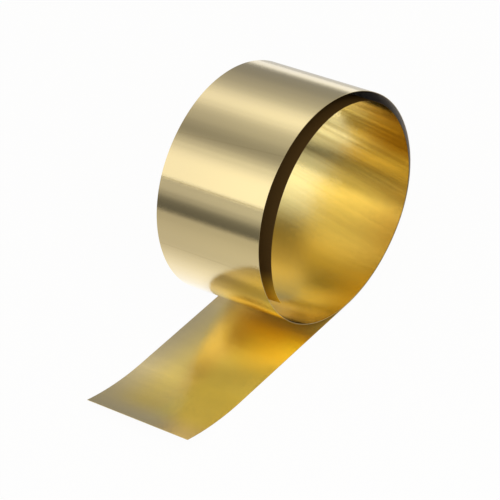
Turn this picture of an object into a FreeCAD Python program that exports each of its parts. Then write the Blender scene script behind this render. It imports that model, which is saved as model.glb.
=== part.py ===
import FreeCAD, Part
import math
import os

import Sketcher

# A strip of thin brass sheet, wound loosely into an open roll of not quite two turns, with a free
# tail that lies flat on the floor under the roll. It is one piece of sheet from end to end.
# The roll's axis is Y. The path of the strip's outer face is drawn in planes along X and Z, from
# the tip of the tail to the free end inside the roll. It turns one way all along, so each bend is
# an arc with its own radius, tangent to its neighbours.
# The tail and the first turn are straight across. The second turn runs askew: its front edge
# starts close along the first turn and its back edge lifts off it, so the back edge has a path of
# its own. Both edges have the same heading all along, so the sheet between them bends one way only.

# Sizes in millimetres and degrees
SIZES = {
    "strip_width": 80.0,
    "sheet_thickness": 0.3,
    "turn_clearance": 0.3,  # between the two turns where they lie together
    "tail_length": 112.4,  # flat stretch, from the tip's bend to the roll's first bend
    "tip_radius": 188.0,  # the tail's end curls up a little
    "tip_angle": 16.0,
    "lower_right_radius": 87.6,
    "right_radius": 65.6,
    "top_right_radius": 74.0,
    "top_radius": 85.0,
    "top_left_radius": 79.7,
    "lap_length": 1.9,  # the first turn comes down this far before its own first bend
    "gap_right": 1.8,  # clear space between the turns, level with the roll's right side
    "gap_top": 10.2,
    "gap_left": 9.8,
    "free_end_radius": 44.7,
    "free_end_angle": 26.0,
    # the second turn's back edge against its front edge, where the lower right bend ends
    "skew_left": 11.8,
    "skew_up": 12.4,
    "back_gap_top": 1.0,  # the same gaps at the roll's back end
    "back_gap_left": 1.6,
    "back_free_end_radius": 64.0,
}

EIGHTH = 45.0
QUARTER = 90.0

# Sizes that follow from the ones above
#   turn_pitch: from the outer face of one turn to the outer face of the next, where they touch
#   left_radius, lower_left_radius: bring the first turn down onto its own tail
#   inner radii: keep the second turn at its gaps from the first
#   back radii: lift the second turn's back edge by the skew, and bring it back to its own gaps
#   roll_reach, tail_reach: from the roll's first bend to the part's two ends along X
DERIVED = {
    "turn_pitch": "sheet_thickness + turn_clearance",
    "left_radius": "lower_right_radius + right_radius - top_left_radius"
    " + (2 * sin(45) - 1) * (top_right_radius - top_radius) + lap_length - turn_pitch",
    "lower_left_radius": "(1 - sin(45)) * (lower_right_radius + top_radius - top_left_radius)"
    " + sin(45) * (right_radius + top_right_radius - left_radius) - turn_pitch",
    "inner_lower_right_radius": "lower_right_radius - turn_pitch",
    "inner_right_radius": "right_radius"
    " - (gap_right + sheet_thickness - sin(45) * turn_pitch) / (1 - sin(45))",
    "inner_top_right_radius": "sin(45) * top_right_radius + (1 - sin(45)) * top_radius"
    " + sin(45) * (right_radius - inner_right_radius - turn_pitch) - gap_top - sheet_thickness",
    "inner_top_left_radius": "(1 - sin(45)) * (top_right_radius + left_radius)"
    " + sin(45) * (top_radius + top_left_radius) - inner_top_right_radius"
    " - gap_right - gap_left - 2 * sheet_thickness",
    "back_lower_left_radius": "lower_left_radius"
    " - (skew_left / sin(45) + skew_up / (1 - sin(45))) / 2",
    "back_lower_right_radius": "inner_lower_right_radius"
    " + (skew_up / (1 - sin(45)) - skew_left / sin(45)) / 2",
    "back_top_right_radius": "inner_top_right_radius + gap_top - back_gap_top - skew_up",
    "back_top_left_radius": "inner_top_left_radius + gap_left - back_gap_left - skew_left"
    " + inner_top_right_radius - back_top_right_radius",
    "roll_reach": "sin(45) * lower_right_radius + (1 - sin(45)) * right_radius",
    "tail_reach": "tail_length + tip_radius * sin(tip_angle)",
}

# The path's stretches in order: a bend is (radius, angle), a straight stretch is (length,)
TAIL = [("tip_radius", "tip_angle"), ("tail_length",)]
FIRST_TURN = [
    ("lower_right_radius", EIGHTH),
    ("right_radius", EIGHTH),
    ("top_right_radius", EIGHTH),
    ("top_radius", EIGHTH),
    ("top_left_radius", EIGHTH),
    ("left_radius", EIGHTH),
    ("lower_left_radius", EIGHTH),
]
SECOND_TURN = [
    ("lower_left_radius", EIGHTH),
    ("lap_length",),
    ("inner_lower_right_radius", EIGHTH),
    ("inner_right_radius", EIGHTH),
    ("inner_top_right_radius", QUARTER),
    ("inner_top_left_radius", QUARTER),
    ("free_end_radius", "free_end_angle"),
]
SECOND_TURN_BACK = [
    ("back_lower_left_radius", EIGHTH),
    ("lap_length",),
    ("back_lower_right_radius", EIGHTH),
    ("inner_right_radius", EIGHTH),
    ("back_top_right_radius", QUARTER),
    ("back_top_left_radius", QUARTER),
    ("back_free_end_radius", "free_end_angle"),
]

START, END = 1, 2
SKETCH_ORIGIN = (-1, 1)
FLAT_STRETCH = TAIL.index(("tail_length",))


def make_sheet(doc):
    """Put the driving sizes and the sizes that follow from them in a spreadsheet."""
    sheet = doc.addObject("Spreadsheet::Sheet", "Sizes")
    cells = {name: str(value) for name, value in SIZES.items()}
    cells.update({name: "=" + formula for name, formula in DERIVED.items()})
    for row, (name, content) in enumerate(cells.items(), start=1):
        sheet.set(f"A{row}", name)
        sheet.set(f"B{row}", content)
        sheet.setAlias(f"B{row}", name)
    doc.recompute()
    return sheet


def size(sheet, name_or_number):
    """A size from the sheet, or the plain number given."""
    if isinstance(name_or_number, str):
        return float(sheet.get(name_or_number))
    return name_or_number


def point_on_bend(centre, radius, heading):
    """Point of an arc turned to the left, where the path has this heading."""
    angle = math.radians(heading)
    return centre + FreeCAD.Vector(radius * math.sin(angle), -radius * math.cos(angle), 0)


def make_straight(start, heading, length):
    """A straight stretch and its end."""
    angle = math.radians(heading)
    end = start + FreeCAD.Vector(length * math.cos(angle), length * math.sin(angle), 0)
    return Part.LineSegment(start, end), end


def make_bend(start, heading, radius, angle):
    """A bend to the left and its end."""
    centre = start * 2 - point_on_bend(start, radius, heading)
    middle = point_on_bend(centre, radius, heading + angle / 2)
    end = point_on_bend(centre, radius, heading + angle)
    return Part.Arc(start, middle, end), end


def bind(sketch, kind, edge, value, name_or_number):
    """Give an edge a size, and tie it to its cell where it has one."""
    index = sketch.addConstraint(Sketcher.Constraint(kind, edge, value))
    if isinstance(name_or_number, str):
        sketch.setExpression(f"Constraints[{index}]", f"Sizes.{name_or_number}")


def draw_path(doc, sheet, name, led_in_by, stretches, across):
    """Sketch some stretches of the outer face's path, fixed to the sheet, at a place across it.

    What leads in from the tip to the first of them is drawn too, as construction lines.
    """
    sketch = doc.addObject("Sketcher::SketchObject", name)
    heading = -size(sheet, "tip_angle")
    radius = size(sheet, "tip_radius")
    flat_start = FreeCAD.Vector(-size(sheet, "tail_length"), 0, 0)
    end = point_on_bend(flat_start + FreeCAD.Vector(0, radius, 0), radius, heading)
    for edge, stretch in enumerate(led_in_by + stretches):
        values = [size(sheet, entry) for entry in stretch]
        leads_in = edge < len(led_in_by)
        if len(stretch) == 1:
            line, end = make_straight(end, heading, values[0])
            sketch.addGeometry(line, leads_in)
            bind(sketch, "Distance", edge, values[0], stretch[0])
        else:
            arc, end = make_bend(end, heading, *values)
            heading += values[1]
            sketch.addGeometry(arc, leads_in)
            bind(sketch, "Radius", edge, values[0], stretch[0])
            bind(sketch, "Angle", edge, math.radians(values[1]), stretch[1])
        if edge > 0:
            sketch.addConstraint(Sketcher.Constraint("Tangent", edge - 1, END, edge, START))
    sketch.addConstraint(Sketcher.Constraint("Horizontal", FLAT_STRETCH))
    sketch.addConstraint(Sketcher.Constraint("Coincident", FLAT_STRETCH, END, *SKETCH_ORIGIN))
    sketch.Placement = FreeCAD.Placement(
        FreeCAD.Vector(), FreeCAD.Rotation(FreeCAD.Vector(1, 0, 0), QUARTER)
    )
    sketch.setExpression("Placement.Base.x", "(Sizes.tail_reach - Sizes.roll_reach) / 2")
    sketch.setExpression("Placement.Base.y", across)
    return sketch


def thicken_path(doc, name, path):
    """Turn a path into the sheet's long thin section, with its thickness on the inside."""
    section = doc.addObject("Part::Offset2D", name)
    section.Source = path
    section.Mode = "Skin"
    section.Fill = True
    section.Join = "Intersection"
    section.setExpression("Value", "Sizes.sheet_thickness")
    return section


def make_straight_part(doc, sheet):
    """The tail and the first turn: one section, given the strip's width about the XZ plane."""
    path = draw_path(doc, sheet, "straight_path", [], TAIL + FIRST_TURN, "0 mm")
    straight_part = doc.addObject("Part::Extrusion", "straight_part")
    straight_part.Base = thicken_path(doc, "straight_section", path)
    straight_part.DirMode = "Normal"
    straight_part.Symmetric = True
    straight_part.Solid = True
    straight_part.setExpression("LengthFwd", "Sizes.strip_width")
    return straight_part


def make_skewed_part(doc, sheet):
    """The second turn: straight lines from its front edge's section to its back edge's."""
    outer = TAIL + FIRST_TURN
    front = draw_path(doc, sheet, "front_path", outer, SECOND_TURN, "-Sizes.strip_width / 2")
    back = draw_path(doc, sheet, "back_path", outer, SECOND_TURN_BACK, "Sizes.strip_width / 2")
    skewed_part = doc.addObject("Part::Loft", "skewed_part")
    skewed_part.Sections = [
        thicken_path(doc, "front_section", front),
        thicken_path(doc, "back_section", back),
    ]
    skewed_part.Solid = True
    skewed_part.Ruled = True
    return skewed_part


def make_strip(doc, sheet):
    """Join the two parts into the one sheet that they are."""
    strip = doc.addObject("Part::Fuse", "brass_strip")
    strip.Label = "brass_strip"
    strip.Base = make_straight_part(doc, sheet)
    strip.Tool = make_skewed_part(doc, sheet)
    return strip


def check(doc, sub_parts):
    """Stop if an object of the document has failed or a sub-part is no valid solid."""
    for item in doc.Objects:
        if "Invalid" in item.State or "Error" in item.State:
            raise RuntimeError(f"{item.Name} failed: {item.State}")
    for item in sub_parts:
        shape = item.Shape
        if shape.isNull() or not shape.isValid() or len(shape.Solids) != 1:
            raise RuntimeError(f"{item.Label} is not one valid solid")


def main():
    os.makedirs("parts", exist_ok=True)
    doc = FreeCAD.newDocument("roll_of_brass_sheet")
    sheet = make_sheet(doc)
    strip = make_strip(doc, sheet)
    doc.recompute()
    check(doc, [strip])
    strip.Shape.exportStep(f"parts/{strip.Label}.step")
    box = strip.Shape.BoundBox
    print("volume", round(strip.Shape.Volume, 2))
    for name in ("straight_path", "front_path", "back_path"):
        print(name, "is", round(doc.getObject(name).Shape.Length, 2), "long")
    print("x", round(box.XMin, 3), round(box.XMax, 3))
    print("y", round(box.YMin, 3), round(box.YMax, 3))
    print("z", round(box.ZMin, 3), round(box.ZMax, 3))


main()
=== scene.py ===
# %% [markdown]
# # A loose roll of brass sheet
# The object is one strip of thin bright brass, 80 mm wide and about 1 m long. It is wound into an
# open roll of not quite two turns, and its outer end lies flat under the roll as a long tail.
# Bright metal has hardly a colour of its own: it shows what stands around it. So this lesson is
# half about the strip and half about the studio that the strip mirrors.
#
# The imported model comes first. It gives the strip's box, and everything below is in its frame, in
# metres: X runs from the tail's tip to the roll, Y along the roll's axis and Z up.

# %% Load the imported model
import math

import bmesh
import bpy
from mathutils import Matrix, Vector


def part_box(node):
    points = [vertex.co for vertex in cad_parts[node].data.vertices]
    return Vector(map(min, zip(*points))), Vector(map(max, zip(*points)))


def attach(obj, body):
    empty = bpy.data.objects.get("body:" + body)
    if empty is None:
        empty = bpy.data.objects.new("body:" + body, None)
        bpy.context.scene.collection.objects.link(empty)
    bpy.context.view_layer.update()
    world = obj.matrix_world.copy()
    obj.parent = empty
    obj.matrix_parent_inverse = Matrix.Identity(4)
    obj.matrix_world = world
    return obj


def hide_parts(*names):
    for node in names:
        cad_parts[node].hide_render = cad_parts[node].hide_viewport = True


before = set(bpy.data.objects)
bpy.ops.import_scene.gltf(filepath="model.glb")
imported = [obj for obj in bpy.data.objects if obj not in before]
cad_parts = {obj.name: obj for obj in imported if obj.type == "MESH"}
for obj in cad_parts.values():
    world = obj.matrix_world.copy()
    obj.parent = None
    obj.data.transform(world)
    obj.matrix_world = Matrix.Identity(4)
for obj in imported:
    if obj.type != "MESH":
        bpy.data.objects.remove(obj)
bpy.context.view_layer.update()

MM = 0.001
low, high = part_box("brass_strip")
print("strip's box in mm:", [round(v / MM, 1) for v in low], [round(v / MM, 1) for v in high])

# %% [markdown]
# ## The camera
# The photograph looks down on the roll from its open front end, with a long lens that hardly
# changes the size of things near and far. The camera is placed on a ball around a point of the
# roll: an angle around, an angle up, a distance, and a small roll of the camera itself.

# %% Place the camera
CAMERA_TARGET = Vector((-5.86, -7.02, 62.3)) * MM
CAMERA_DISTANCE = 1811.6 * MM
CAMERA_AROUND = math.radians(-47.38)
CAMERA_UP = math.radians(35.30)
CAMERA_ROLL = math.radians(-8.84)
LENS_MM = 209.55
SENSOR_MM = 36.0

camera_data = bpy.data.cameras.new("camera")
camera_data.lens = LENS_MM
camera_data.sensor_width = SENSOR_MM
camera = bpy.data.objects.new("camera", camera_data)
bpy.context.scene.collection.objects.link(camera)
camera.matrix_world = (
    Matrix.Translation(CAMERA_TARGET)
    @ Matrix.Rotation(CAMERA_AROUND, 4, "Z")
    @ Matrix.Rotation(math.pi / 2 - CAMERA_UP, 4, "X")
    @ Matrix.Rotation(CAMERA_ROLL, 4, "Z")
    @ Matrix.Translation((0, 0, CAMERA_DISTANCE))
)
bpy.context.scene.camera = camera
print("camera at", [round(v, 3) for v in camera.matrix_world.translation])

# %% [markdown]
# ## The strip's path
# Seen from the front, the strip is a line that always bends the same way. The real strip was
# wound by hand, so its radius changes a little from place to place. A chain of bends, each with
# its own radius and each starting in the direction in which the last one ended, gives that line
# with a few numbers. A spline through many points would need far more of them.
#
# The inner turn lies askew in the outer one: at the open front it rests against the lower right,
# at the back against the upper left. So the back edge gets radii of its own there. Both edges
# turn by the same angles, because sheet metal bends but does not stretch: the straight lines
# that join its two edges join points where both edges point the same way.
#
# Only some of the sizes are free. They are named first, by where they lie on the roll as it is
# seen from the front. A place without another word is the radius of the bend there.

# %% Name the free sizes of the path
THICKNESS = 0.3 * MM
TURN_CLEARANCE = 0.3 * MM
TAIL_LENGTH = 112.4 * MM
TIP_RADIUS, TIP_ANGLE = 188.0 * MM, 16.0
LOWER_RIGHT, RIGHT, TOP_RIGHT = 87.6 * MM, 65.6 * MM, 74.0 * MM
TOP, TOP_LEFT = 85.0 * MM, 79.7 * MM
LAP_LENGTH = 1.9 * MM
GAP_RIGHT, GAP_TOP, GAP_LEFT = 1.8 * MM, 10.2 * MM, 9.8 * MM
BACK_GAP_TOP, BACK_GAP_LEFT = 1.0 * MM, 1.6 * MM
SKEW_LEFT, SKEW_UP = 11.8 * MM, 12.4 * MM
FREE_END, BACK_FREE_END, FREE_END_ANGLE = 44.7 * MM, 64.0 * MM, 26.0
EIGHTH, QUARTER = 45.0, 90.0

# %% [markdown]
# The other radii follow from these. The last two of the first turn bring the strip down onto its
# own tail, a sheet's thickness and a little clearance above it. Those of the second turn keep it
# at its gaps from the first, and those of its back edge add the skew. Each bend turns by an
# eighth or a quarter of a full turn, so the sums need only the sine of 45 degrees.

# %% Work out the radii that follow
SLANT = math.sin(math.radians(EIGHTH))
PITCH = THICKNESS + TURN_CLEARANCE

LEFT = (
    LOWER_RIGHT + RIGHT - TOP_LEFT
    + (2 * SLANT - 1) * (TOP_RIGHT - TOP) + LAP_LENGTH - PITCH
)
LOWER_LEFT = (
    (1 - SLANT) * (LOWER_RIGHT + TOP - TOP_LEFT)
    + SLANT * (RIGHT + TOP_RIGHT - LEFT) - PITCH
)
INNER_LOWER_RIGHT = LOWER_RIGHT - PITCH
INNER_RIGHT = RIGHT - (GAP_RIGHT + THICKNESS - SLANT * PITCH) / (1 - SLANT)
INNER_TOP_RIGHT = (
    SLANT * TOP_RIGHT + (1 - SLANT) * TOP
    + SLANT * (RIGHT - INNER_RIGHT - PITCH) - GAP_TOP - THICKNESS
)
INNER_TOP_LEFT = (
    (1 - SLANT) * (TOP_RIGHT + LEFT) + SLANT * (TOP + TOP_LEFT)
    - INNER_TOP_RIGHT - GAP_RIGHT - GAP_LEFT - 2 * THICKNESS
)
BACK_LOWER_LEFT = LOWER_LEFT - (SKEW_LEFT / SLANT + SKEW_UP / (1 - SLANT)) / 2
BACK_LOWER_RIGHT = INNER_LOWER_RIGHT + (SKEW_UP / (1 - SLANT) - SKEW_LEFT / SLANT) / 2
BACK_TOP_RIGHT = INNER_TOP_RIGHT + GAP_TOP - BACK_GAP_TOP - SKEW_UP
BACK_TOP_LEFT = (
    INNER_TOP_LEFT + GAP_LEFT - BACK_GAP_LEFT - SKEW_LEFT + INNER_TOP_RIGHT - BACK_TOP_RIGHT
)
print("left and lower left radius in mm:", round(LEFT / MM, 2), round(LOWER_LEFT / MM, 2))

# %% Put the stretches in order
def bend(front, angle, back=None):
    """A bend: the front edge's radius, the back edge's and the angle turned."""
    return (front, front if back is None else back, angle)


def straight(length):
    """A stretch without a bend: it has a length and no radius."""
    return (None, None, length)


TAIL = [bend(TIP_RADIUS, TIP_ANGLE), straight(TAIL_LENGTH)]
FIRST_TURN = [
    bend(LOWER_RIGHT, EIGHTH),
    bend(RIGHT, EIGHTH),
    bend(TOP_RIGHT, EIGHTH),
    bend(TOP, EIGHTH),
    bend(TOP_LEFT, EIGHTH),
    bend(LEFT, EIGHTH),
    bend(LOWER_LEFT, EIGHTH),
    bend(LOWER_LEFT, EIGHTH, BACK_LOWER_LEFT),
    straight(LAP_LENGTH),
]
SECOND_TURN = [
    bend(INNER_LOWER_RIGHT, EIGHTH, BACK_LOWER_RIGHT),
    bend(INNER_RIGHT, EIGHTH),
    bend(INNER_TOP_RIGHT, QUARTER, BACK_TOP_RIGHT),
    bend(INNER_TOP_LEFT, QUARTER, BACK_TOP_LEFT),
    bend(FREE_END, FREE_END_ANGLE, BACK_FREE_END),
]
PATH = [*TAIL, *FIRST_TURN, *SECOND_TURN]


def stretch_length(radius, amount):
    """Length along one edge of a bend or straight."""
    return amount if radius is None else radius * math.radians(amount)


for edge_name, column in (("front", 0), ("back", 1)):
    length = sum(stretch_length(stretch[column], stretch[2]) for stretch in PATH)
    print(edge_name, "edge's length in mm:", round(length / MM, 1))

# %% [markdown]
# ## Winding the strip
# Start with one short edge across the strip's width, at the tail's tip, and pull it along the
# path. Extruding the edge and turning its two new points about the bend's centre is what Spin
# does, one step at a time. Doing the steps here has two gains: each end of the edge can turn
# about a centre of its own, and each point can be told how far along the strip it lies, which
# becomes the strip's UV map.

# %% Pull an edge along the path
STEP = 1.3 * MM
CUTS_ACROSS = 15
TIP_HEADING = -TIP_ANGLE


def lay_first_edge(bm):
    """One edge across the width, at the tip of the tail. Its first point is at the front."""
    tip_height = TIP_RADIUS * (1 - math.cos(math.radians(TIP_ANGLE)))
    ends = [bm.verts.new((low.x, y, tip_height)) for y in (low.y, high.y)]
    return bm.edges.new(ends)


def move_point(bm, point, heading, radius, amount):
    """Move one end of the edge by a step along its bend or straight."""
    angle = math.radians(heading)
    forward = Vector((math.cos(angle), 0, math.sin(angle)))
    if radius is None:
        bmesh.ops.translate(bm, verts=[point], vec=forward * amount)
    else:
        centre = point.co + Vector((-forward.z, 0, forward.x)) * radius
        turn = Matrix.Rotation(-math.radians(amount), 3, "Y")
        bmesh.ops.rotate(bm, verts=[point], cent=centre, matrix=turn)
    point[bm.verts.layers.float["along"]] += stretch_length(radius, amount)


def pull_edge(bm, edge, heading, stretch):
    """Extrude the edge along one stretch. Returns the last edge and the new heading."""
    *radii, amount = stretch
    steps = math.ceil(stretch_length(max(radii, key=lambda r: r or 0), amount) / STEP)
    for _ in range(steps):
        made = bmesh.ops.extrude_edge_only(bm, edges=[edge])["geom"]
        points = sorted(
            (item for item in made if isinstance(item, bmesh.types.BMVert)), key=lambda v: v.co.y
        )
        for point, radius in zip(points, radii):
            move_point(bm, point, heading, radius, amount / steps)
        edge = bm.edges.get(points)
        heading += 0 if radii[0] is None else amount / steps
    return edge, heading


strip_bm = bmesh.new()
strip_bm.verts.layers.float.new("along")
edge = lay_first_edge(strip_bm)
heading = TIP_HEADING
for stretch in PATH:
    edge, heading = pull_edge(strip_bm, edge, heading, stretch)
for name, point in zip(("front", "back"), edge.verts):
    print(name, "free corner at mm:", [round(v / MM, 2) for v in point.co])
crossing = [e for e in strip_bm.edges if abs(e.verts[0].co.y - e.verts[1].co.y) > STEP]
bmesh.ops.subdivide_edges(strip_bm, edges=crossing, cuts=CUTS_ACROSS, use_grid_fill=True)
print("faces on the strip:", len(strip_bm.faces), "last heading:", round(heading, 2))

# %% [markdown]
# ## Thickness and edges
# The path is the strip's outer face, so the thickness goes towards the inside. Solidify in bmesh
# does that in one step, once all faces point the same way: outwards, away from the roll's middle.
# A slit edge of real sheet is never a knife edge, so the long edges get a very small rounding.
# It catches light, and that thin bright line is what tells the eye that the sheet is thin.

# %% Give the sheet its thickness
EDGE_ROUNDING = 0.06 * MM
EDGE_SEGMENTS = 2
SHARP_ANGLE = math.radians(30)


def face_outwards(bm):
    """Make every face of the open sheet point away from the inside of the roll."""
    bmesh.ops.recalc_face_normals(bm, faces=bm.faces)
    tail_face = min(bm.faces, key=lambda face: face.calc_center_median().z)
    if tail_face.normal.z > 0:
        bmesh.ops.reverse_faces(bm, faces=bm.faces)


def add_flat_layout(bm):
    """UV map of the strip laid out flat, in metres: U along it and V across."""
    along = bm.verts.layers.float["along"]
    flat = bm.loops.layers.uv.new("flat")
    for face in bm.faces:
        for loop in face.loops:
            loop[flat].uv = (loop.vert[along], loop.vert.co.y)


def round_long_edges(bm):
    """Bevel the sheet's rim, where two faces meet at a right angle."""
    rim = [e for e in bm.edges if e.is_manifold and e.calc_face_angle() > SHARP_ANGLE]
    bmesh.ops.bevel(
        bm, geom=rim, affect="EDGES", offset=EDGE_ROUNDING, segments=EDGE_SEGMENTS,
        profile=0.5, material=-1,
    )


def keep_within_width(bm):
    """Trim the hair's breadth by which thickness pushes the askew turn past the strip's width."""
    for point in bm.verts:
        point.co.y = min(max(point.co.y, low.y), high.y)


face_outwards(strip_bm)
add_flat_layout(strip_bm)
bmesh.ops.solidify(strip_bm, geom=strip_bm.faces[:], thickness=THICKNESS)
round_long_edges(strip_bm)
keep_within_width(strip_bm)

# %% [markdown]
# ## The faces with painted gap shade
# Where one turn lies over the other, light hardly gets in, so both walls of the gap get painted
# shade: a dark, matt colour in place of the metal. The material needs to know where that is. A
# number on every face tells it: 1 on the first turn's inside and on the second turn's outside, 0
# elsewhere, with a soft change where the gap begins and where the first turn leaves it. The wedge
# where the roll meets the tail gets half of it. A second number says which faces look to the inside
# of the roll.
# Painting such masks by hand would do too, but a rule made of lengths along the strip stays right
# when the path changes.

# %% Mark the faces with painted gap shade
def path_length_to(stretch_count):
    """Length along the front edge from the tip to the end of so many stretches."""
    return sum(stretch_length(radii[0], radii[2]) for radii in PATH[:stretch_count])


ROLL_MIDDLE = Vector((43.0, 0.0, 75.0)) * MM
LAST_COVERED_BEND = 6
TAIL_END = path_length_to(len(TAIL))
FIRST_END = path_length_to(len(TAIL) + LAST_COVERED_BEND)
SECOND_START = path_length_to(len(TAIL) + len(FIRST_TURN))
SECOND_END = path_length_to(len(PATH))
# Between these lengths the gap's walls get painted shade, and the wedges get half of it.
FIRST_GAP = (TAIL_END + 35 * MM, FIRST_END - 12 * MM)
SECOND_GAP = (SECOND_START, SECOND_END + 25 * MM)
FIRST_WEDGE = (TAIL_END - 50 * MM, TAIL_END - 15 * MM)
SECOND_WEDGE = (SECOND_START - 45 * MM, SECOND_START - 10 * MM)
WEDGE_SHADE = 0.5
SHADE_RISE = 30 * MM
SHADE_FALL = 25 * MM


def soft_step(value, start, end):
    """0 before start, 1 after end, smooth between."""
    share = min(max((value - start) / (end - start), 0.0), 1.0)
    return share * share * (3 - 2 * share)


def mark_painted_shade_faces(bm):
    """Write each face's share of painted shade: first turn inside, second turn outside."""
    flat = bm.loops.layers.uv["flat"]
    shade = bm.faces.layers.float.new("painted_gap_shade")
    inner_side = bm.faces.layers.float.new("inner_side")
    for face in bm.faces:
        along = sum(loop[flat].uv.x for loop in face.loops) / len(face.loops)
        faces_in = face.normal.dot(face.calc_center_median() - ROLL_MIDDLE) < 0
        face[inner_side] = float(faces_in)
        gap, wedge = (FIRST_GAP, FIRST_WEDGE) if faces_in else (SECOND_GAP, SECOND_WEDGE)
        begin, end = gap
        if along < begin:
            face[shade] = soft_step(along, *wedge) * WEDGE_SHADE
        else:
            rise = soft_step(along, begin, begin + SHADE_RISE)
            face[shade] = rise * (1 - soft_step(along, end - SHADE_FALL, end))
    print("shaded faces:", sum(face[shade] > 0.5 for face in bm.faces), "of", len(bm.faces))


mark_painted_shade_faces(strip_bm)

# %% Turn it into an object
SHARP_FROM = math.radians(15)


def finish_piece(bm, name):
    """Write a bmesh to a new smooth object at the origin."""
    mesh = bpy.data.meshes.new(name)
    bm.to_mesh(mesh)
    bm.free()
    mesh.shade_smooth()
    mesh.set_sharp_from_angle(angle=SHARP_FROM)
    mesh.calc_loop_triangles()
    print(name, "has", len(mesh.loop_triangles), "triangles")
    piece = bpy.data.objects.new(name, mesh)
    bpy.context.scene.collection.objects.link(piece)
    return piece


strip = finish_piece(strip_bm, "wound_strip")
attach(strip, "root")
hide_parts("brass_strip")

# %% [markdown]
# ## A way to write materials
# A shader is a formula drawn as boxes and wires. Long formulas are easier to read as text, so
# four small helpers turn text into nodes: `Value` is one output of a node and knows + - *,
# `Nodes` adds any other node by its type, `ramp` is a soft step from 0 to 1, and `hill` goes up
# by one soft step and down by another.

# %% Helpers that turn formulas into nodes
class Value:
    """One output socket. Arithmetic with numbers and other values adds Math nodes."""

    def __init__(self, nodes, socket):
        self.nodes = nodes
        self.socket = socket

    def math(self, operation, *others):
        return self.nodes.add("ShaderNodeMath", {"operation": operation}, {
            index: other for index, other in enumerate([self, *others])
        })

    def __add__(self, other):
        return self.math("ADD", other)

    def __mul__(self, other):
        return self.math("MULTIPLY", other)

    def __sub__(self, other):
        return self.math("SUBTRACT", other)

    def __rsub__(self, other):
        return (self * -1) + other

    __radd__ = __add__
    __rmul__ = __mul__


class Nodes:
    """Adds nodes to the node tree of a material, a world or a lamp."""

    def __init__(self, owner):
        owner.use_nodes = True
        self.tree = owner.node_tree
        self.tree.nodes.clear()

    def add(self, kind, settings=None, inputs=None, output=0):
        """A new node. Settings come first, then numbers, colours or links for its sockets."""
        node = self.tree.nodes.new(kind)
        for name, setting in (settings or {}).items():
            setattr(node, name, setting)
        for key, value in (inputs or {}).items():
            if isinstance(value, Value):
                self.tree.links.new(value.socket, node.inputs[key])
            else:
                node.inputs[key].default_value = value
        return Value(self, node.outputs[output]) if node.outputs else None


def ramp(value, start, end):
    """0 before start, 1 after end, smooth between."""
    return value.nodes.add("ShaderNodeMapRange", {"interpolation_type": "SMOOTHSTEP"}, {
        "Value": value, "From Min": start, "From Max": end, "To Min": 0.0, "To Max": 1.0,
    })


def hill(value, rise, fall):
    """0 before the rise, 1 between the two and 0 after the fall. Each is a (start, end)."""
    return ramp(value, *rise) * (1 - ramp(value, *fall))


# %% [markdown]
# ## Brass: the bends that are too small to model
# Brass is a bare metal: all the light that comes from it is reflection, tinted by its own colour.
# So most of its looks come from the direction in which each spot of it faces. Three things bend
# that direction, and all three are written as a height in metres on the flat layout, so that Bump
# can turn them into slopes:
#
# - Grain. The mill's rollers leave very fine lines along the strip. They are finer than a pixel,
#   so they aren't seen as lines. They smear every reflection across the strip and leave it nearly
#   sharp along the strip. Anisotropic roughness would do that too, but it needs a tangent, and the
#   lines themselves need nothing but the layout.
# - Waves. Thin sheet wound by hand is never quite round. Long, low waves lie across it.
# - A twist. The free tail isn't quite flat: its outer end leans one way, its root the other.
#
# Noise squeezed across the strip makes the lines. The grain is strongest on the tail and weakest
# on the outside of the roll. Places along the strip are in metres from the tail's tip, places
# across it in metres from its middle line, and each soft change is a pair: where it starts and
# where it ends.

# %% Write grain, waves and twist as heights
GRAIN_PER_METRE = Vector((700.0, 11000.0))
GRAIN_HEIGHT = 0.022 * MM
WAVES_PER_METRE = Vector((90.0, 2.0))
WAVE_HEIGHT = 0.12 * MM
WAVE_DETAIL = 2.0
GRAIN_OUTSIDE = 0.25
GRAIN_MORE_INSIDE = 0.35
GRAIN_MORE_ON_TAIL = 0.75
INSIDE_GRAIN_STARTS = (0.3, 0.4)
TAIL_GRAIN_ENDS = (0.13, 0.17)
TAIL_LEAN_OUT = 0.05
TAIL_LEAN_IN = 0.12
LEAN_CHANGES = (0.05, 0.13)
TWIST_ENDS = (0.16, 0.2)

brass = bpy.data.materials.new("rolled_brass")
nodes = Nodes(brass)
flat = nodes.add("ShaderNodeUVMap", {"uv_map": "flat"})
along = nodes.add("ShaderNodeSeparateXYZ", {}, {0: flat}, output="X")
across = nodes.add("ShaderNodeSeparateXYZ", {}, {0: flat}, output="Y")
inner_side = nodes.add("ShaderNodeAttribute", {"attribute_name": "inner_side"}, output="Fac")


def sheet_noise(place_along, place_across, detail, roughness=0.5):
    """Noise on the flat sheet, at places already scaled to the size of its lumps."""
    place = nodes.add("ShaderNodeCombineXYZ", {}, {"X": place_along, "Y": place_across})
    return nodes.add("ShaderNodeTexNoise", {}, {
        "Vector": place, "Scale": 1.0, "Detail": detail, "Roughness": roughness,
    })


waves = sheet_noise(along * WAVES_PER_METRE.x, across * WAVES_PER_METRE.y, WAVE_DETAIL)
grain = sheet_noise(along * GRAIN_PER_METRE.x, across * GRAIN_PER_METRE.y, 0.0)
on_tail = 1 - ramp(along, *TAIL_GRAIN_ENDS)
inside = inner_side * ramp(along, *INSIDE_GRAIN_STARTS)
grain_share = on_tail * GRAIN_MORE_ON_TAIL + inside * GRAIN_MORE_INSIDE + GRAIN_OUTSIDE
tail_lean = ramp(along, *LEAN_CHANGES) * (TAIL_LEAN_IN + TAIL_LEAN_OUT) - TAIL_LEAN_OUT
twist = across * tail_lean * (ramp(along, *TWIST_ENDS) - 1)
buckled = nodes.add("ShaderNodeBump", {}, {
    "Strength": 1.0, "Distance": 1.0, "Height": waves * WAVE_HEIGHT,
})
grained = nodes.add("ShaderNodeBump", {}, {
    "Strength": 1.0, "Distance": 1.0, "Height": grain * grain_share * GRAIN_HEIGHT + twist,
    "Normal": buckled,
})
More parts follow.
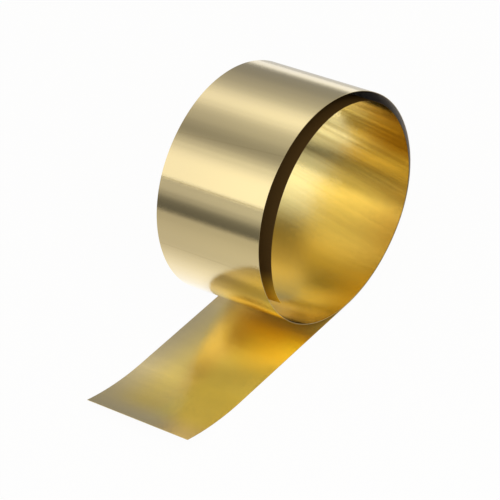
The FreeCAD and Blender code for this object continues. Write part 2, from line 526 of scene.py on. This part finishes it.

# %% [markdown]
# ## Brass: its colours
# A reflection that has met the metal twice is tinted twice, so the inside of the roll and the
# tail's root are a deep gold, and the outside is pale. Small differences are added to that: the
# inner side is a little warmer, the far edge a little duller, and faint bands of handling cross the
# inner side. Painted reflection is added too: the tail's top gets a painted gold for the roll that
# it mirrors, richest towards its near edge, and the inside gets a deeper painted gold at its
# bottom, beside the gap. Three creases cross the outside, where the sheet was pinched while it was
# wound. Each gets a thin line of painted shade.

# %% Mix the colours
BRASS_COLOUR = (0.90, 0.735, 0.37, 1)
FAR_COLOUR = (0.80, 0.65, 0.34, 1)
INNER_COLOUR = (0.95, 0.78, 0.31, 1)
BAND_COLOUR = (0.68, 0.51, 0.16, 1)
# Painted reflection: the gold that the tail's top mirrors from the roll.
TAIL_PAINTED_GOLD = (0.96, 0.71, 0.16, 1)
TAIL_NEAR_PAINTED_GOLD = (0.99, 0.82, 0.19, 1)
# Painted reflection: a deeper gold on the inside's bottom, beside the gap.
BOTTOM_PAINTED_GOLD = (0.68, 0.47, 0.07, 1)
# Painted shade: the colour of the thin dark line along each crease.
CREASE_SHADE_COLOUR = (0.62, 0.47, 0.20, 1)
OUTSIDE_DULLS = (-0.04, 0.04)
INSIDE_STARTS = (0.2, 0.3)

BANDS_PER_METRE = Vector((110.0, 3.0))
BANDS_SLANT = 4.0
BAND_DETAIL = 3.0
BAND_ROUGHNESS = 0.6
BAND_EDGE = (0.45, 0.58)
BANDS_LOW = 0.2
BANDS_MORE_ABOVE = 0.5
BANDS_STRONG_FROM = (0.722, 0.732)

TAIL_NEAR_EDGE = (-0.012, 0.004)
TAIL_GOLD_RISE, TAIL_GOLD_FALL = (0.003, 0.024), (0.15, 0.2)
TAIL_GOLD_FAR_EDGE = (0.01, 0.045)
BOTTOM_RISE, BOTTOM_FALL = (0.60, 0.64), (0.665, 0.70)
BOTTOM_SHARE = 0.9

# Each crease: its distance from the tip, its slant and how dark it is
CREASE_WIDTH = 0.7 * MM
CREASES = [(454.6 * MM, 0.07, 0.22), (486.8 * MM, 0.0, 0.5), (532.0 * MM, 0.0, 0.3)]


def blend(share, first, second):
    """The first colour where share is 0 and the second where it is 1."""
    return nodes.add("ShaderNodeMix", {"data_type": "RGBA"}, {
        "Factor": share, "A": first, "B": second,
    }, output="Result")


outer = blend(ramp(across, *OUTSIDE_DULLS), BRASS_COLOUR, FAR_COLOUR)
bands = sheet_noise(
    along * BANDS_PER_METRE.x - across * BANDS_SLANT, across * BANDS_PER_METRE.y,
    BAND_DETAIL, BAND_ROUGHNESS,
)
band_share = ramp(along, *BANDS_STRONG_FROM) * BANDS_MORE_ABOVE + BANDS_LOW
inner = blend(ramp(bands, *BAND_EDGE) * band_share, INNER_COLOUR, BAND_COLOUR)
sided = blend(inner_side * ramp(along, *INSIDE_STARTS), outer, inner)
# Painted reflection: gold on the tail's top, richest towards its near edge.
tail_painted_gold = blend(ramp(across, *TAIL_NEAR_EDGE), TAIL_NEAR_PAINTED_GOLD, TAIL_PAINTED_GOLD)
tail_share = hill(along, TAIL_GOLD_RISE, TAIL_GOLD_FALL) * (1 - ramp(across, *TAIL_GOLD_FAR_EDGE))
tinted = blend(tail_share * inner_side, sided, tail_painted_gold)
# Painted reflection: deeper gold at the bottom of the inside.
at_bottom = hill(along, BOTTOM_RISE, BOTTOM_FALL)
tinted = blend(at_bottom * inner_side * BOTTOM_SHARE, tinted, BOTTOM_PAINTED_GOLD)
# Painted shade: a thin dark line along each crease.
crease_shade = 0.0
for distance, slant, depth in CREASES:
    off = (along - across * slant - distance).math("ABSOLUTE")
    crease_shade = (1 - ramp(off, 0.0, CREASE_WIDTH)) * depth + crease_shade
colour = blend(crease_shade, tinted, CREASE_SHADE_COLOUR)

# %% [markdown]
# ## Brass: the shader
# The metal is a Principled shader with full Metallic and a low roughness. A thin coat stands for
# the film of mill oil. It adds hardly anything face on and a lot of white at a grazing view, which
# turns the top and the bottom of the roll pale. In the gap between the turns the same shader turns
# matt and loses its metal and its coat, and its colour is painted shade and painted reflection: a
# dark brown painted shade, a grey painted reflection towards the top right, a painted gold where
# light reaches the strip's free end, and a warm brown painted reflection in the wedge over the
# tail. Two shaders and a mix would do it too, but one shader whose sockets change is what other
# programs can read.

# %% Put the brass together
BRASS_ROUGHNESS = 0.10
COAT_WEIGHT = 0.8
COAT_ROUGHNESS = 0.12
# Painted shade: the dark brown that stands for the shade between the turns.
GAP_SHADE_COLOUR = (0.085, 0.047, 0.014, 1)
# Painted reflection: the grey that the gap's walls mirror towards the top right.
PAINTED_GAP_SHEEN_COLOUR = (0.45, 0.42, 0.40, 1)
# Painted reflection: warm brown for the light that bounces in the wedge between roll and tail.
PAINTED_WEDGE_COLOUR = (0.62, 0.36, 0.04, 1)
# Painted light: gold where light reaches into the gap at the strip's free end.
FREE_END_PAINTED_GOLD = (0.80, 0.45, 0.03, 1)
GAP_ROUGHNESS = 0.7
GAP_SPECULAR = 0.0
SHEEN_RISE, SHEEN_FALL = (0.22, 0.25), (0.31, 0.40)
TAIL_WEDGE_ENDS = (0.17, 0.19)
TURN_WEDGE_ENDS = (0.65, 0.66)
FREE_END_STARTS = (0.985, 1.012)

outer_side = 1 - inner_side
in_wedge = 1 - ramp(along, *TAIL_WEDGE_ENDS) + outer_side * (1 - ramp(along, *TURN_WEDGE_ENDS))
# Painted reflection: grey over the painted shade towards the top right of the gap.
with_painted_sheen = blend(hill(along, SHEEN_RISE, SHEEN_FALL), GAP_SHADE_COLOUR, PAINTED_GAP_SHEEN_COLOUR)
# Painted reflection: warm brown in the wedge over the tail.
painted_gap_colour = blend(in_wedge, with_painted_sheen, PAINTED_WEDGE_COLOUR)
# Painted light: the gap's painted shade turns gold towards the strip's free end.
painted_gap_colour = blend(outer_side * ramp(along, *FREE_END_STARTS), painted_gap_colour, FREE_END_PAINTED_GOLD)
# Painted shade: where this mask is 1 the metal becomes a matt painted colour.
painted_gap_shade = nodes.add("ShaderNodeAttribute", {"attribute_name": "painted_gap_shade"}, output="Fac")
matt_share = ramp(painted_gap_shade, WEDGE_SHADE, 1.0)
metal = nodes.add("ShaderNodeBsdfPrincipled", {}, {
    "Base Color": blend(painted_gap_shade, colour, painted_gap_colour),
    "Metallic": 1 - painted_gap_shade,
    "Roughness": matt_share * (GAP_ROUGHNESS - BRASS_ROUGHNESS) + BRASS_ROUGHNESS,
    "Specular IOR Level": GAP_SPECULAR,
    "Coat Weight": (1 - painted_gap_shade) * COAT_WEIGHT,
    "Coat Roughness": COAT_ROUGHNESS,
    "Normal": grained,
})
nodes.add("ShaderNodeOutputMaterial", {}, {"Surface": metal})
strip.data.materials.append(brass)

# %% [markdown]
# ## The floor
# The roll lies on white paper, lit so that it comes out white. A floor that is white only because
# of more light would burn out every pale surface above it. Instead the camera's own rays, and
# those that come through glass, see a mix of plain white and matt paper. The matt share keeps a
# trace of the roll's shadow.
#
# The brass needs a floor too: the lower left of the roll, the tail's root and the deep gold of the
# inside all mirror it. Their rays see an even level with painted light and shade on it: two painted
# pools of light just behind the roll, a little painted shade far to the left, and a dark painted
# front, where the camera stands. The disc ends 0.68 m away. Its far edge is the sharp line across
# the lower left of the roll.

# %% Lay the floor
FLOOR_RADIUS = 680 * MM
FLOOR_SIDES = 96
FLOOR_DROP = 0.05 * MM
FLOOR_COLOUR = (0.86, 0.86, 0.86, 1)
FLOOR_WHITE_SHARE = 0.96
FLOOR_MIRRORED_SHARE = 0.6
FLOOR_MIRRORED_LEVEL = 0.60
# Painted light and shade on the floor, seen only by rays from the brass: two pools of light behind
# the roll, a shaded far left and a dark front.
GLOW_LEFT = 0.85
GLOW_LEFT_RISE, GLOW_LEFT_FALL = (-0.11, -0.02), (-0.005, 0.02)
GLOW_RIGHT = 1.4
GLOW_RIGHT_RISE, GLOW_RIGHT_FALL = (0.025, 0.06), (0.09, 0.14)
GLOW_BEHIND = (0.02, 0.05)
FAR_LEFT_SHADE = 0.15
FAR_LEFT_ENDS = (-0.35, -0.12)
FRONT_LEVEL = 0.12
FRONT_ENDS = (-0.07, -0.03)

floor_bm = bmesh.new()
bmesh.ops.create_circle(floor_bm, cap_ends=True, radius=FLOOR_RADIUS, segments=FLOOR_SIDES)
bmesh.ops.translate(floor_bm, verts=floor_bm.verts, vec=(0, 0, low.z - FLOOR_DROP))
floor = finish_piece(floor_bm, "floor")


def plain_view(nodes):
    """1 for the camera's own rays and for rays through glass, 0 for all others."""
    direct = nodes.add("ShaderNodeLightPath", output="Is Camera Ray")
    return direct + nodes.add("ShaderNodeLightPath", output="Is Transmission Ray")


paper = bpy.data.materials.new("white_paper")
nodes = Nodes(paper)
seen = plain_view(nodes)
mirrored = nodes.add("ShaderNodeLightPath", output="Is Glossy Ray")
matt = nodes.add("ShaderNodeBsdfDiffuse", {}, {"Color": FLOOR_COLOUR})
place = nodes.add("ShaderNodeTexCoord", output="Object")
place_x = nodes.add("ShaderNodeSeparateXYZ", {}, {0: place}, output="X")
place_y = nodes.add("ShaderNodeSeparateXYZ", {}, {0: place}, output="Y")
# Painted pools of light and painted shade, for mirrored rays only.
glow_left = hill(place_x, GLOW_LEFT_RISE, GLOW_LEFT_FALL) * GLOW_LEFT
glow_right = hill(place_x, GLOW_RIGHT_RISE, GLOW_RIGHT_FALL) * GLOW_RIGHT
even_level = (ramp(place_x, *FAR_LEFT_ENDS) - 1) * FAR_LEFT_SHADE + FLOOR_MIRRORED_LEVEL
behind_level = ramp(place_y, *GLOW_BEHIND) * (glow_left + glow_right) + even_level
in_front = 1 - ramp(place_y, *FRONT_ENDS)
mirror_level = behind_level * (1 - in_front) + in_front * FRONT_LEVEL
white = nodes.add("ShaderNodeEmission", {}, {
    "Color": (1, 1, 1, 1), "Strength": seen + mirrored * mirror_level,
})
share = seen * FLOOR_WHITE_SHARE + mirrored * FLOOR_MIRRORED_SHARE
mixed = nodes.add("ShaderNodeMixShader", {}, {0: share, 1: matt, 2: white})
nodes.add("ShaderNodeOutputMaterial", {}, {"Surface": mixed})
floor.data.materials.append(paper)

# %% [markdown]
# ## The studio
# What the outside of the roll mirrors depends on one angle only: how far the mirrored ray leans
# from straight up, towards +X or -X. So the studio is a room of long soft lights that all run
# along Y, and each light is four numbers and a strength: the lean where it rises, how softly, the
# lean where it falls, and how softly. Reading the photograph from the roll's top to its bottom
# gives them one by one:
#
# - a bright horizon at the right, seen in the top edge;
# - a soft light overhead with a haze around it, the broad pale band of the shoulder;
# - a large light at the left with one hard lower edge, the brightest band and the sharp line
#   below it;
# - a wall under it that is dark near the floor, the dark band below that line;
# - the room itself, faint and even.
#
# Rays that run up from the inside of the roll see a warm ceiling. Lamps with falloff would need
# many tries to give such bands. Angles give them at once. Behind the roll the camera sees plain
# white, and only what the brass mirrors is this room.

# %% Build the studio's light
class Softbox:
    """A long light beside or above the roll, by the angles of its edges from the zenith."""

    def __init__(self, name, rise, rise_fade, fall, fall_fade, strength):
        self.name = name
        self.rise, self.rise_fade = rise, rise_fade
        self.fall, self.fall_fade = fall, fall_fade
        self.strength = strength


CEILING_COLOUR = (0.84, 0.69, 0.38, 1)
CEILING_RISE, CEILING_FALL = (-28, -6), (60, 90)
CEILING_ENDS_BEHIND = (0.3, 0.5)
WALL = 0.15
SOFTBOXES = [
    Softbox("room", -81, 12, 112, 10, 0.15),
    Softbox("left wall", -83, 8, -67, 4, 0.30),
    Softbox("left", -65.8, 0.4, -28, 17, 0.88),
    Softbox("top", 16, 12, 36, 15, 0.53),
    Softbox("top haze", -4, 14, 56, 20, 0.28),
    Softbox("right horizon", 91, 5, 112, 5, 0.70),
]

world = bpy.data.worlds.new("studio")
bpy.context.scene.world = world
nodes = Nodes(world)
direction = nodes.add("ShaderNodeTexCoord", output="Generated")
part_x = nodes.add("ShaderNodeSeparateXYZ", {}, {0: direction}, output="X")
part_z = nodes.add("ShaderNodeSeparateXYZ", {}, {0: direction}, output="Z")
lean = part_x.math("ARCTAN2", part_z) * math.degrees(1)

glow = WALL
for box in SOFTBOXES:
    rise = (box.rise - box.rise_fade, box.rise + box.rise_fade)
    fall = (box.fall - box.fall_fade, box.fall + box.fall_fade)
    glow = glow + hill(lean, rise, fall) * box.strength
seen = plain_view(nodes)
level = glow * (1 - seen) + seen
part_y = nodes.add("ShaderNodeSeparateXYZ", {}, {0: direction}, output="Y")
overhead = hill(lean, CEILING_RISE, CEILING_FALL) * (1 - ramp(part_y, *CEILING_ENDS_BEHIND))
warmth = nodes.add("ShaderNodeMix", {"data_type": "RGBA"}, {
    "Factor": overhead * (1 - seen), "A": (1, 1, 1, 1), "B": CEILING_COLOUR,
}, output="Result")
background = nodes.add("ShaderNodeBackground", {}, {"Color": warmth, "Strength": level})
nodes.add("ShaderNodeOutputWorld", {}, {"Surface": background})

# %% [markdown]
# ## The front light
# One soft lamp stands in front at the left. The brass never mirrors it in this view. It lights the
# paper and the matt walls of the gap.

# %% Add the front light
FRONT_LIGHT_PLACE = Vector((-0.35, -0.9, 0.95))
FRONT_LIGHT_AIM = Vector((0, 0, 0))
FRONT_LIGHT_SIZE = 0.6
FRONT_LIGHT_WATTS = 4


def add_softlight(name, place, aim, size, power):
    """A square area lamp at a place, turned to face a point."""
    lamp = bpy.data.lights.new(name, "AREA")
    lamp.shape = "SQUARE"
    lamp.size = size
    lamp.energy = power
    holder = bpy.data.objects.new(name, lamp)
    turn = (place - aim).to_track_quat("Z", "Y").to_matrix().to_4x4()
    holder.matrix_world = Matrix.Translation(place) @ turn
    bpy.context.scene.collection.objects.link(holder)
    return holder


add_softlight(
    "front_light", FRONT_LIGHT_PLACE, FRONT_LIGHT_AIM, FRONT_LIGHT_SIZE, FRONT_LIGHT_WATTS
)

bpy.context.scene.view_settings.view_transform = "Standard"
